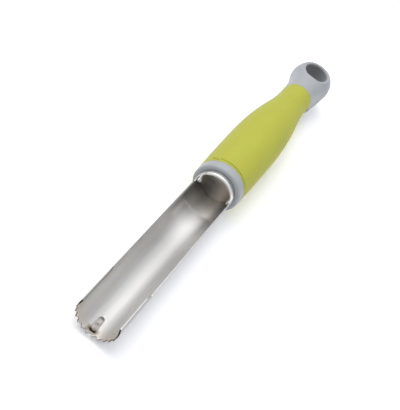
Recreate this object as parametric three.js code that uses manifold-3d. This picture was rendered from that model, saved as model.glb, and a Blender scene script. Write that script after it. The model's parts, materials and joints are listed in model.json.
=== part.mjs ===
// Fruit corer: a rolled steel trough with saw teeth at its tip, held in a two-colour moulded handle.
// Millimetres, +Z up. Every piece is drawn along +Y from the tooth points, with the trough open to +Z,
// and the finished tool is then laid down on its own underside.

import * as THREE from "three";
import { mergeVertices } from "three/addons/utils/BufferGeometryUtils.js";
import Module from "manifold-3d";

const wasm = await Module();
wasm.setup();

// Driving dimensions of the blade
const BLADE_RADIUS = 9.5;
const SHEET = 0.6;
const TOOTH_COUNT = 12;
const TOOTH_PITCH = THREE.MathUtils.degToRad(16);
const TOOTH_HEIGHT = 1.0;
const TOOTH_FLAT = 0.1;
const VALLEY_ROUND = 0.3;
const CURL_HEIGHT = 3.4;
const CURL_LENGTH = 21.4;
const CURL_CORNER_SETBACK = 1.2;
const CURL_CORNER_ROUND = 0.9;
const RAMP_LENGTH = 3.8;
const RAMP_ROUND = 0.9;
const RAMP_DIP = 0.35;
const RING_FRONT = 94;
const RELIEF_WIDTH = 1.3;
const RELIEF_DEPTH = 0.7;
const SEAM_WIDTH = 0.3;
const SEAM_ANGLE = THREE.MathUtils.degToRad(-45);

// The scoop pressed out of the trough's floor behind the teeth, with the slot it was cut from
const SLOT_BAR = 0.75;
const SLOT_LENGTH = 1.2;
const SLOT_WIDTH = 4.0;
const SCOOP_LENGTH = 8.0;
const SCOOP_FRONT_WIDTH = 3.5;
const SCOOP_REAR_WIDTH = 2.6;
const SCOOP_DEPTH = 1.5;
const SCOOP_SIDES = 4;

// Lock windows in the hidden end of the ring, filled by pegs of the handle core
const LOCK_DIAMETER = 4.5;
const LOCK_LEAD = 1.5;
const LOCK_MARGIN = 3.2;

// Driving dimensions of the pressed cap that closes the ring
const PLUG_RECESS = 5.7;
const PLUG_SHEET = 0.6;
const PLUG_SKIRT = 3.0;
const PLUG_INNER_CORNER = 0.6;

// Driving dimensions of the handle core
const RING_SHOWN = 2.6;
const CORE_WALL = 0.7;
const COLLAR_LENGTH = 4.6;
const COLLAR_ROUND = 1.2;
const BORE_CHAMFER = 0.3;
const NECK_STRAIGHT = 0.8;
const BALL_RADIUS = 11.0;
const BALL_SETBACK = 19.7;
const EYE_RADIUS = 6.2;
const EYE_ROUND = 1.0;

// Driving dimensions of the soft grip
const GRIP_LENGTH = 89.2;
const GRIP_WALL = 1.1;
const GRIP_PROUD = 0.1;
const GRIP_EDGE_ROUND = 0.3;
const BELLY_BACK = 33;
const BELLY_SWELL = 0.6;
const BELLY_SWEEP = 30;
const WAIST_RADIUS = 8.0;
const WAIST_INSET = 4.2;
const WAIST_SWEEP = 16;
const GROOVE_BACK = 2.4;
const GROOVE_WIDTH = 0.8;
const GROOVE_DEPTH = 0.35;

// Room left between two pieces that touch on the real tool
const FIT = 0.25;

// How finely round forms are cut into facets
const ROUND_FACETS = 36;
const BLADE_FACETS = 48;
const PEG_FACETS = 16;
const ARC_STEPS = 4;
const BALL_STEPS = 12;
const SWEEP_STEPS = 8;

// How far a cutter runs past the surface that it cuts
const OVERCUT = 1;
const WELD = 1e-4;
const LAY_ROUNDS = 8;

// Places along the tool that follow from those sizes
const bladeInner = BLADE_RADIUS - SHEET;
const curlStart = CURL_CORNER_SETBACK + CURL_CORNER_ROUND;
const rampEnd = CURL_LENGTH + RAMP_LENGTH;
const slotStart = TOOTH_HEIGHT + SLOT_BAR;
const slotEnd = slotStart + SLOT_LENGTH;
const plugFace = RING_FRONT + PLUG_RECESS;
const plugEnd = plugFace + PLUG_SKIRT;
const plugRadius = bladeInner - FIT;
const plugInner = plugRadius - PLUG_SHEET;
const lockCentre = plugEnd + LOCK_LEAD + LOCK_DIAMETER / 2;
const ringEnd = lockCentre + LOCK_DIAMETER / 2 + LOCK_MARGIN;
const collarFront = RING_FRONT + RING_SHOWN;
const collarBore = BLADE_RADIUS + FIT;
const gripFront = collarFront + COLLAR_LENGTH;
const gripFrontRadius = collarBore + CORE_WALL + FIT + GRIP_WALL;
const gripRear = gripFront + GRIP_LENGTH;
const collarRadius = gripFrontRadius - GRIP_PROUD;
const bellyRadius = gripFrontRadius + BELLY_SWELL;
const ballCentre = gripRear + BALL_SETBACK;
const flareStart = gripRear + NECK_STRAIGHT;
const flareLength = ballCentre - flareStart;
const flareRadius =
  (flareLength ** 2 + WAIST_RADIUS ** 2 - BALL_RADIUS ** 2) / (2 * (BALL_RADIUS - WAIST_RADIUS));

const steel = { color: 0xc9c6c0, roughness: 0.32, metalness: 1.0 };
const capSteel = { color: 0xa9a49c, roughness: 0.38, metalness: 1.0 };
const hardPlastic = { color: 0xb4b8ba, roughness: 0.5, metalness: 0.0 };
const softPlastic = { color: 0xbdc05c, roughness: 0.75, metalness: 0.0 };

/** Turns a closed three.js geometry into a solid that can be joined and cut. */
function toSolid(geometry) {
  const bare = geometry.clone();
  bare.deleteAttribute("normal");
  bare.deleteAttribute("uv");
  const welded = mergeVertices(bare, WELD);
  const corners = welded.index.array;
  const kept = [];
  for (let i = 0; i < corners.length; i += 3) {
    const [a, b, c] = corners.slice(i, i + 3);
    if (a !== b && b !== c && c !== a) kept.push(a, b, c);
  }
  return new wasm.Manifold(new wasm.Mesh({
    numProp: 3,
    vertProperties: new Float32Array(welded.attributes.position.array),
    triVerts: new Uint32Array(kept),
  }));
}

/** Turns a solid back into a geometry, and names it as one sub-part with its own material. */
function toMesh(name, solid, finish) {
  const { vertProperties, triVerts } = solid.getMesh();
  const geometry = new THREE.BufferGeometry();
  geometry.setAttribute("position", new THREE.BufferAttribute(vertProperties, 3));
  geometry.setIndex(new THREE.BufferAttribute(triVerts, 1));
  geometry.computeVertexNormals();
  const mesh = new THREE.Mesh(geometry, new THREE.MeshStandardMaterial(finish));
  mesh.name = name;
  return mesh;
}

const at = (radius, along) => new THREE.Vector2(radius, along);

/** Points of an arc in a radius and length profile, from one angle to another about a centre. */
function arc(centre, radius, from, to, steps = ARC_STEPS) {
  const points = [];
  for (let i = 0; i <= steps; i += 1) {
    const angle = THREE.MathUtils.lerp(from, to, i / steps);
    points.push(at(centre.x + radius * Math.cos(angle), centre.y + radius * Math.sin(angle)));
  }
  return points;
}

/** Revolves a profile of radius and length points about the tool's axis. */
function revolve(points, facets = ROUND_FACETS) {
  return toSolid(new THREE.LatheGeometry(points, facets));
}

/** A solid bar of round section between two places on the axis. */
function bar(radius, from, to, facets) {
  return revolve([at(0, from), at(radius, from), at(radius, to), at(0, to)], facets);
}

/** Extrudes a shape drawn from the tool's side, in length and height, right across the tool. */
function acrossTool(shape, width) {
  const options = { depth: width, bevelEnabled: false, curveSegments: ARC_STEPS };
  const geometry = new THREE.ExtrudeGeometry(shape, options);
  geometry.translate(0, 0, -width / 2);
  const sideView = new THREE.Matrix4().makeBasis(
    new THREE.Vector3(0, 1, 0),
    new THREE.Vector3(0, 0, 1),
    new THREE.Vector3(1, 0, 0),
  );
  return toSolid(geometry.applyMatrix4(sideView));
}

/** Extrudes a shape drawn on the unrolled sheet outwards through the wall, at an angle from the top. */
function throughWall(shape, angle) {
  const options = { depth: SHEET + 2 * OVERCUT, bevelEnabled: false, curveSegments: ARC_STEPS };
  const geometry = new THREE.ExtrudeGeometry(shape, options);
  geometry.translate(0, 0, bladeInner - OVERCUT);
  return toSolid(geometry.rotateY(angle));
}

/** What is cut away above the trough: the curled tip walls, the ramp, the long edges and the ring's mouth. */
function troughCut() {
  const sky = BLADE_RADIUS + OVERCUT;
  const reliefStart = RING_FRONT - RELIEF_WIDTH;
  const shape = new THREE.Shape();
  shape.moveTo(-OVERCUT, 0);
  shape.lineTo(0, 0);
  shape.lineTo(CURL_CORNER_SETBACK, CURL_HEIGHT - CURL_CORNER_ROUND);
  shape.quadraticCurveTo(CURL_CORNER_SETBACK, CURL_HEIGHT, curlStart, CURL_HEIGHT);
  shape.lineTo(CURL_LENGTH - RAMP_ROUND, CURL_HEIGHT);
  shape.quadraticCurveTo(CURL_LENGTH, CURL_HEIGHT, CURL_LENGTH + RAMP_ROUND, CURL_HEIGHT - RAMP_ROUND);
  shape.lineTo(rampEnd - RAMP_ROUND, RAMP_ROUND);
  shape.quadraticCurveTo(rampEnd, -RAMP_DIP, rampEnd + RAMP_ROUND, -RAMP_DIP);
  shape.quadraticCurveTo(rampEnd + 2 * RAMP_ROUND, -RAMP_DIP, rampEnd + 2 * RAMP_ROUND, 0);
  shape.lineTo(reliefStart, 0);
  shape.quadraticCurveTo(reliefStart, -RELIEF_DEPTH, reliefStart + RELIEF_WIDTH / 2, -RELIEF_DEPTH);
  shape.quadraticCurveTo(RING_FRONT, -RELIEF_DEPTH, RING_FRONT, 0);
  shape.lineTo(RING_FRONT, sky);
  shape.lineTo(-OVERCUT, sky);
  return acrossTool(shape, 2 * sky);
}

/** One valley between two saw teeth, with a soft root. */
function valleyCut(angle) {
  const half = BLADE_RADIUS * Math.tan(TOOTH_PITCH / 2) - TOOTH_FLAT / 2;
  const slope = TOOTH_HEIGHT / half;
  const root = TOOTH_HEIGHT - VALLEY_ROUND * slope;
  const shape = new THREE.Shape();
  shape.moveTo(-half - OVERCUT / slope, -OVERCUT);
  shape.lineTo(half + OVERCUT / slope, -OVERCUT);
  shape.lineTo(VALLEY_ROUND, root);
  shape.quadraticCurveTo(0, TOOTH_HEIGHT, -VALLEY_ROUND, root);
  return throughWall(shape, Math.PI + angle);
}

/** The scoop as a four-sided taper with a round rear end, grown outwards by a wall. */
function scoopBody(wall, front) {
  const frontHalf = SCOOP_FRONT_WIDTH / 2;
  const rearHalf = SCOOP_REAR_WIDTH / 2;
  const roundStart = slotEnd + SCOOP_LENGTH - rearHalf;
  const profile = [
    at(0, front),
    at(frontHalf + wall, front),
    at(frontHalf + wall, slotEnd),
    ...arc(at(0, roundStart), rearHalf + wall, 0, Math.PI / 2),
  ];
  const geometry = new THREE.LatheGeometry(profile, SCOOP_SIDES);
  geometry.scale(1, 1, (SCOOP_DEPTH + wall) / (frontHalf + wall));
  geometry.translate(0, 0, -bladeInner);
  return toSolid(geometry);
}

/** The slot across the floor in front of the scoop, with round ends. */
function slotCut() {
  const end = SLOT_LENGTH / 2;
  const reach = SLOT_WIDTH / 2 - end;
  const shape = new THREE.Shape();
  shape.absarc(reach, slotStart + end, end, -Math.PI / 2, Math.PI / 2);
  shape.absarc(-reach, slotStart + end, end, Math.PI / 2, 1.5 * Math.PI);
  return throughWall(shape, Math.PI);
}

/** The lengthwise gap where the two edges of the rolled sheet meet on the ring. */
function seamCut() {
  const shape = new THREE.Shape();
  shape.moveTo(-SEAM_WIDTH / 2, RING_FRONT - OVERCUT);
  shape.lineTo(SEAM_WIDTH / 2, RING_FRONT - OVERCUT);
  shape.lineTo(SEAM_WIDTH / 2, ringEnd + OVERCUT);
  shape.lineTo(-SEAM_WIDTH / 2, ringEnd + OVERCUT);
  return throughWall(shape, SEAM_ANGLE);
}

/** A round bar across the ring, for the lock windows and for the pegs that fill them. */
function lockBar(diameter, length) {
  const geometry = new THREE.CylinderGeometry(diameter / 2, diameter / 2, length, PEG_FACETS);
  geometry.rotateZ(Math.PI / 2);
  geometry.translate(0, lockCentre, 0);
  return toSolid(geometry);
}

function blade() {
  let sheet = bar(BLADE_RADIUS, 0, ringEnd, BLADE_FACETS)
    .add(scoopBody(SHEET, slotEnd))
    .subtract(bar(bladeInner, -OVERCUT, ringEnd + OVERCUT, BLADE_FACETS))
    .subtract(scoopBody(0, slotEnd - OVERCUT))
    .subtract(slotCut())
    .subtract(troughCut())
    .subtract(seamCut())
    .subtract(lockBar(LOCK_DIAMETER, 2 * (BLADE_RADIUS + OVERCUT)));
  for (let i = 0; i <= TOOTH_COUNT; i += 1) {
    sheet = sheet.subtract(valleyCut((i - TOOTH_COUNT / 2) * TOOTH_PITCH));
  }
  return toMesh("blade", sheet, steel);
}

/** A shallow pressed cup, face to the trough, that shuts the ring. */
function neckPlug() {
  const outerCorner = PLUG_INNER_CORNER + PLUG_SHEET;
  const corner = at(plugRadius - outerCorner, plugFace + outerCorner);
  const profile = [
    at(0, plugFace),
    ...arc(corner, outerCorner, -Math.PI / 2, 0),
    at(plugRadius, plugEnd),
    at(plugInner, plugEnd),
    ...arc(corner, PLUG_INNER_CORNER, 0, -Math.PI / 2),
    at(0, plugFace + PLUG_SHEET),
  ];
  return toMesh("neck_plug", revolve(profile), capSteel);
}

/** The grip's outside as radius and length points: a swelling belly that sweeps in to a waist. */
function gripSweep() {
  const belly = gripFront + BELLY_BACK;
  const waist = gripRear - WAIST_INSET;
  const sweep = new THREE.CurvePath();
  sweep.add(new THREE.QuadraticBezierCurve(
    at(gripFrontRadius, gripFront),
    at(bellyRadius, (gripFront + belly) / 2),
    at(bellyRadius, belly),
  ));
  sweep.add(new THREE.CubicBezierCurve(
    at(bellyRadius, belly),
    at(bellyRadius, belly + BELLY_SWEEP),
    at(WAIST_RADIUS, waist - WAIST_SWEEP),
    at(WAIST_RADIUS, waist),
  ));
  sweep.add(new THREE.LineCurve(at(WAIST_RADIUS, waist), at(WAIST_RADIUS, gripRear)));
  return sweep.getPoints(SWEEP_STEPS);
}

/** The radius of a swept outline at a place along it. */
function radiusAt(outline, along) {
  const next = outline.findIndex((p) => p.y >= along);
  const [from, to] = [outline[next - 1], outline[next]];
  return THREE.MathUtils.mapLinear(along, from.y, to.y, from.x, to.x);
}

/** The soft sleeve moulded over the core, with a fine groove behind its front lip. */
function gripSleeve() {
  const outside = gripSweep();
  const inside = outside.map((p) => at(p.x - GRIP_WALL, p.y)).reverse();
  const groove = gripFront + GROOVE_BACK;
  const grooveFront = groove - GROOVE_WIDTH / 2;
  const grooveRear = groove + GROOVE_WIDTH / 2;
  const round = GRIP_EDGE_ROUND;
  const profile = [
    ...inside,
    ...arc(at(gripFrontRadius - round, gripFront + round), round, -Math.PI / 2, 0),
    at(radiusAt(outside, grooveFront), grooveFront),
    at(radiusAt(outside, groove) - GROOVE_DEPTH, groove),
    at(radiusAt(outside, grooveRear), grooveRear),
    ...outside.filter((p) => p.y > grooveRear && p.y < gripRear - round),
    ...arc(at(WAIST_RADIUS - round, gripRear - round), round, 0, Math.PI / 2),
    inside[0],
  ];
  return toMesh("grip_sleeve", revolve(profile), softPlastic);
}

/** The hard core in one moulding: spigot, collar, rod under the grip, and the ball with its hanging eye. */
function handleCore() {
  const nose = plugInner - FIT;
  const noseFront = plugFace + PLUG_SHEET + FIT;
  const noseEnd = plugEnd + FIT;
  const spigot = bladeInner - FIT;
  const seatEnd = ringEnd + FIT;
  const round = Math.min(COLLAR_ROUND, collarRadius - collarBore - BORE_CHAMFER);
  const rod = gripSweep().map((p) => at(p.x - GRIP_WALL - FIT, p.y));
  const rodFront = at(rod[0].x, gripFront - FIT);
  const rodRear = at(rod[rod.length - 1].x, gripRear + FIT);
  const flareCentre = at(WAIST_RADIUS + flareRadius, flareStart);
  const meets = Math.atan2(-flareLength, flareCentre.x);
  const profile = [
    at(0, noseFront),
    at(nose, noseFront),
    at(nose, noseEnd),
    at(spigot, noseEnd),
    at(spigot, seatEnd),
    at(collarBore, seatEnd),
    at(collarBore, collarFront + BORE_CHAMFER),
    at(collarBore + BORE_CHAMFER, collarFront),
    ...arc(at(collarRadius - round, collarFront + round), round, -Math.PI / 2, 0),
    at(collarRadius, gripFront - FIT),
    rodFront,
    ...rod,
    rodRear,
    at(WAIST_RADIUS, gripRear + FIT),
    ...arc(flareCentre, flareRadius, Math.PI, Math.PI + meets),
    ...arc(at(0, ballCentre), BALL_RADIUS, meets, Math.PI / 2, BALL_STEPS).slice(1, -1),
    at(0, ballCentre + BALL_RADIUS),
  ];
  const core = revolve(profile)
    .add(lockBar(LOCK_DIAMETER - 2 * FIT, 2 * collarBore + CORE_WALL))
    .subtract(eyeCut());
  return toMesh("handle_core", core, hardPlastic);
}

/** The vertical hole through the ball, flared to a soft edge where it breaks the surface. */
function eyeCut() {
  const mouth = EYE_RADIUS + EYE_ROUND;
  const edge = Math.sqrt(BALL_RADIUS ** 2 - mouth ** 2);
  const flare = arc(at(mouth, edge - EYE_ROUND), EYE_ROUND, Math.PI, Math.PI / 2);
  const upper = [...flare, at(mouth, BALL_RADIUS + OVERCUT), at(0, BALL_RADIUS + OVERCUT)];
  const lower = upper.map((p) => at(p.x, -p.y)).reverse();
  const geometry = new THREE.LatheGeometry([...lower, ...upper], ROUND_FACETS);
  geometry.rotateX(Math.PI / 2);
  geometry.translate(0, ballCentre, 0);
  return toSolid(geometry);
}

/** The lowest point of a mesh once the tool is tipped about its crosswise axis. */
function lowestPoint(mesh, tip) {
  const turn = new THREE.Matrix4().makeRotationX(tip);
  const place = mesh.geometry.attributes.position;
  const point = new THREE.Vector3();
  const lowest = new THREE.Vector3(0, 0, Infinity);
  for (let i = 0; i < place.count; i += 1) {
    point.fromBufferAttribute(place, i).applyMatrix4(turn);
    if (point.z < lowest.z) lowest.copy(point);
  }
  return lowest;
}

/** Tips the tool until blade and grip lie on one level, then centres its underside on the origin. */
function layDown(tool, front, rear) {
  let tip = 0;
  for (let i = 0; i < LAY_ROUNDS; i += 1) {
    const near = lowestPoint(front, tip);
    const far = lowestPoint(rear, tip);
    tip -= Math.atan2(far.z - near.z, far.y - near.y);
  }
  tool.rotation.x = tip;
  tool.updateMatrixWorld(true);
  const box = new THREE.Box3().setFromObject(tool, true);
  tool.position.set(0, -(box.min.y + box.max.y) / 2, -box.min.z);
}

const bladeMesh = blade();
const sleeveMesh = gripSleeve();
const tool = new THREE.Group();
tool.add(bladeMesh, neckPlug(), handleCore(), sleeveMesh);
layDown(tool, bladeMesh, sleeveMesh);

const corer = new THREE.Group();
corer.name = "fruit_corer";
corer.add(tool);

export default corer;
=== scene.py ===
"""Fruit corer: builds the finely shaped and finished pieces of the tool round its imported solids.

Pieces are shaped in the tool's own frame, in millimetres: `along` runs down the tool's axis from the tooth
points to the hanging ball, `across` to the right seen from the tip, and `height` up out of the trough.
`ToolAxis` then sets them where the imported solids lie. Finishes are placed in the frame's own metres.
"""

import json
import logging
import math
from dataclasses import dataclass, field, replace
from enum import Enum
from functools import cached_property
from typing import Callable, Sequence

import bmesh
import bpy
import numpy as np
from mathutils import Euler, Matrix, Vector


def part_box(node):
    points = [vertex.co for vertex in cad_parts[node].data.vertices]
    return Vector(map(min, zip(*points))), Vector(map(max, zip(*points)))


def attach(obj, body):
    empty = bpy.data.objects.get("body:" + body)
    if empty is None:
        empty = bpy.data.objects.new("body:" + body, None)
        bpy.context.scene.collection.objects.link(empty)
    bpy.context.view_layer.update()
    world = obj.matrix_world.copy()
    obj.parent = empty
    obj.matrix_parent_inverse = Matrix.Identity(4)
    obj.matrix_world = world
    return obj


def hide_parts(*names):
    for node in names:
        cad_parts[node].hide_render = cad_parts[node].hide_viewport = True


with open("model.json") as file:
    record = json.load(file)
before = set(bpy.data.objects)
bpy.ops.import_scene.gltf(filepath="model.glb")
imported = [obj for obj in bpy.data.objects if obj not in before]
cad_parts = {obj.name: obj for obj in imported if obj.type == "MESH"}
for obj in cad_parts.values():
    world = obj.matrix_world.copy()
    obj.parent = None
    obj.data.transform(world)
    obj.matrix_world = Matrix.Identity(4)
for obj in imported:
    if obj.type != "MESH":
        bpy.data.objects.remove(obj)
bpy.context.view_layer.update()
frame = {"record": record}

LOG = logging.getLogger("fruit_corer")
BODY = "root"
MM = 0.001
WHOLE_TURN = 2.0 * math.pi
QUARTER = math.pi / 2

# The gap between moulded faces that touch in the real tool, in millimetres.
TOUCH = 0.04

# Lengths that differ by less than this are the same, in millimetres.
TINY = 1e-6

# A zone that no face reaches.
NOWHERE = (1.0, 2.0)

# The part of a cloudy value's range that holds most of it.
CLOUD_SPAN = (0.3, 0.7)

# Where a mixing node has its two colours and the mixed one.
MIX_COLOURS = (6, 7)
MIXED = 2

Point = tuple[float, float]
Span = tuple[float, float]
Triple = tuple[float, float, float]
Colour = tuple[float, float, float]
Socket = bpy.types.NodeSocket

UNSCALED: Triple = (1.0, 1.0, 1.0)


class Node(str, Enum):
    """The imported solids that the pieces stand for."""

    BLADE = "blade"
    PLUG = "neck_plug"
    CORE = "handle_core"
    SLEEVE = "grip_sleeve"


class Slot(str, Enum):
    """The record's material slots."""

    BLADE = "blade_steel"
    PLUG = "cap_steel"
    CORE = "hard_plastic"
    SLEEVE = "soft_grip"


@dataclass(frozen=True)
class ToolAxis:
    """Where the lying tool's axis runs in the frame.

    Attributes:
        origin: The place on the axis level with the tooth points, in metres.
        lean: How far the axis rises from tip to ball, in radians.
    """

    origin: Vector
    lean: float

    @classmethod
    def from_frame(cls) -> "ToolAxis":
        """Reads the axis from the hanging eye's direction and the boxes of the blade and the cap.

        Returns:
            The axis of the tool as it lies.
        """
        eye = next(m for m in frame["record"]["mounts"] if m["name"] == "hanging_eye")
        lean = math.atan2(-eye["axis"][1], eye["axis"][2])
        low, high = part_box(Node.PLUG.value)
        middle = (low + high) / 2
        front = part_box(Node.BLADE.value)[0].y
        rise = (middle.y - front) * math.tan(lean)
        return cls(Vector((0.0, front, middle.z - rise)), lean)

    def matrix(self) -> Matrix:
        """The turn and shift from the tool's own millimetres to the frame's metres."""
        turn = Matrix.Rotation(self.lean, 4, "X")
        return Matrix.Translation(self.origin) @ turn @ Matrix.Scale(MM, 4)


def arc(centre: Point, radius: float, start: float, end: float, steps: int) -> list[Point]:
    """Points of a circle's arc.

    Args:
        centre: The circle's centre.
        radius: Its radius.
        start: The first angle, in radians.
        end: The last angle, in radians.
        steps: How many chords the arc has.

    Returns:
        The points in order, both ends included.
    """
    angles = np.linspace(start, end, steps + 1)
    return [(centre[0] + radius * math.cos(a), centre[1] + radius * math.sin(a)) for a in angles]


def bezier(controls: Sequence[Point], steps: int) -> list[Point]:
    """Points of a Bezier curve of any degree.

    Args:
        controls: The control points.
        steps: How many chords the curve has.

    Returns:
        The points in order, both ends included.
    """
    points = []
    for t in np.linspace(0.0, 1.0, steps + 1):
        level = [np.array(c, float) for c in controls]
        while len(level) > 1:
            level = [a + (b - a) * t for a, b in zip(level, level[1:])]
        points.append((float(level[0][0]), float(level[0][1])))
    return points


def smooth_step(low: float, high: float, value: float) -> float:
    """A soft rise from 0 at `low` to 1 at `high`."""
    t = min(1.0, max(0.0, (value - low) / (high - low)))
    return t * t * (3.0 - 2.0 * t)


def soft_least(first: float, second: float, softness: float) -> float:
    """The smaller of two values, with a rounded corner where they meet."""
    return 0.5 * (first + second - math.sqrt((first - second) ** 2 + softness ** 2))


def revolve(
    profile: Sequence[Point],
    facets: int,
    shift: Callable[[float, float, float], Point] | None = None,
) -> bmesh.types.BMesh:
    """Revolves a profile about the tool's axis.

    Args:
        profile: Radius and length points, either closed or with both ends on the axis.
        facets: How many facets go round.
        shift: Moves a point, given its radius, length and angle from the top.

    Returns:
        The closed mesh, in the tool's frame.
    """
    bm = bmesh.new()
    rings: list[list[bmesh.types.BMVert]] = []
    for radius, along in profile:
        if radius < TINY:
            rings.append([bm.verts.new((0.0, along, 0.0))])
            continue
        ring = []
        for i in range(facets):
            angle = WHOLE_TURN * i / facets
            r, y = shift(radius, along, angle) if shift else (radius, along)
            ring.append(bm.verts.new((r * math.sin(angle), y, r * math.cos(angle))))
        rings.append(ring)
    pairs = list(zip(rings, rings[1:]))
    if len(rings[0]) > 1:
        pairs.append((rings[-1], rings[0]))
    for near, far in pairs:
        for i in range(facets):
            j = (i + 1) % facets
            quad = [near[i % len(near)], far[i % len(far)], far[j % len(far)], near[j % len(near)]]
            corners = list(dict.fromkeys(quad))
            if len(corners) > 2:
                bm.faces.new(corners)
    bmesh.ops.recalc_face_normals(bm, faces=bm.faces[:])
    return bm


def add_piece(name: str, bm: bmesh.types.BMesh, placing: Matrix) -> bpy.types.Object:
    """Makes an object of a mesh and links it to the scene.

    Args:
        name: The piece's name.
        bm: Its mesh in the tool's frame, which is used up.
        placing: The matrix to the frame's metres.

    Returns:
        The new object, at the origin, with its place in its mesh.
    """
    bm.transform(placing)
    mesh = bpy.data.meshes.new(name)
    bm.to_mesh(mesh)
    bm.free()
    piece = bpy.data.objects.new(name, mesh)
    bpy.context.scene.collection.objects.link(piece)
    return piece


def apply_modifiers(piece: bpy.types.Object) -> None:
    """Turns a piece's modifiers into its mesh.

    Args:
        piece: The piece, which loses its modifiers.
    """
    bpy.context.view_layer.update()
    graph = bpy.context.evaluated_depsgraph_get()
    made = bpy.data.meshes.new_from_object(piece.evaluated_get(graph))
    old = piece.data
    piece.modifiers.clear()
    piece.data = made
    bpy.data.meshes.remove(old)
    made.name = piece.name


def shade(piece: bpy.types.Object, crease: float) -> None:
    """Shades a piece smooth, with edges sharper than `crease` degrees left crisp."""
    piece.data.shade_smooth()
    piece.data.set_sharp_from_angle(angle=math.radians(crease))


def stand_for(piece: bpy.types.Object, node: Node, material: bpy.types.Material) -> None:
    """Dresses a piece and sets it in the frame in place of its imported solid.

    Args:
        piece: The piece.
        node: The solid that it stands for.
        material: Its finish.
    """
    piece.data.materials.clear()
    piece.data.materials.append(material)
    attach(piece, BODY)
    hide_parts(node.value)
    LOG.info("%s: %d faces", piece.name, len(piece.data.polygons))


class ShaderTree:
    """A tree of shader nodes, added and linked by name."""

    def __init__(self, tree: bpy.types.NodeTree) -> None:
        """Takes the tree that is to be filled."""
        self.tree = tree

    def feed(self, target: Socket, value: object) -> None:
        """Sets an input socket, or links it to the socket that feeds it.

        Args:
            target: The input socket.
            value: Its value, or the socket that feeds it.
        """
        if isinstance(value, Socket):
            self.tree.links.new(value, target)
        else:
            target.default_value = value

    def fill(self, node: bpy.types.Node, **values: object) -> None:
        """Sets or feeds a node's input sockets, by their names with _ for spaces."""
        for key, value in values.items():
            self.feed(node.inputs[key.replace("_", " ")], value)

    def add(self, kind: str, **values: object) -> bpy.types.Node:
        """Adds a node and fills its input sockets.

        Args:
            kind: The node's type.
            values: Socket values, or the sockets that feed them, by the socket's name with _ for spaces.

        Returns:
            The new node.
        """
        node = self.tree.nodes.new(kind)
        self.fill(node, **values)
        return node

    def work_out(self, kind: str, operation: str, *values: object) -> bpy.types.Node:
        """Adds a node that works out a number or a vector.

        Args:
            kind: The node's type.
            operation: What it does with its values.
            values: The values, or the sockets that feed them, in order.

        Returns:
            The new node.
        """
        node = self.add(kind)
        node.operation = operation
        for socket, value in zip(node.inputs, values):
            self.feed(socket, value)
        return node

    def split(self, vector: Socket) -> tuple[Socket, Socket, Socket]:
        """A vector's parts across the tool, along it and upwards."""
        parts = self.add("ShaderNodeSeparateXYZ", Vector=vector).outputs
        return parts["X"], parts["Y"], parts["Z"]

    def both(self, first: Socket, second: Socket) -> Socket:
        """The product of two shares."""
        return self.work_out("ShaderNodeMath", "MULTIPLY", first, second).outputs["Value"]

    def either(self, first: Socket, second: Socket) -> Socket:
        """The larger of two shares."""
        return self.work_out("ShaderNodeMath", "MAXIMUM", first, second).outputs["Value"]

    def size_of(self, value: Socket) -> Socket:
        """A value without its sign."""
        return self.work_out("ShaderNodeMath", "ABSOLUTE", value).outputs["Value"]

    def stretch(self, value: Socket, span: Span, levels: tuple[object, object]) -> bpy.types.Node:
        """Stretches a span of a value to other levels.

        Args:
            value: The value's socket.
            span: The value's ends.
            levels: What the ends become, or the sockets that say so.

        Returns:
            The new node.
        """
        ends = dict(zip(("From_Min", "From_Max", "To_Min", "To_Max"), (*span, *levels)))
        return self.add("ShaderNodeMapRange", Value=value, **ends)

    def fade(self, value: Socket, span: Span, start: float = 0.0, levels: Span = (0.0, 1.0)) -> Socket:
        """A soft change from one level to another over a span.

        Args:
            value: The value that rises or falls through the span.
            span: Where the change begins and ends.
            start: Where the span counts from.
            levels: The levels before and after, 0 and 1 for a share.

        Returns:
            The level's socket.
        """
        node = self.stretch(value, (start + span[0], start + span[1]), levels)
        node.interpolation_type = "SMOOTHSTEP"
        return node.outputs["Result"]


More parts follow.
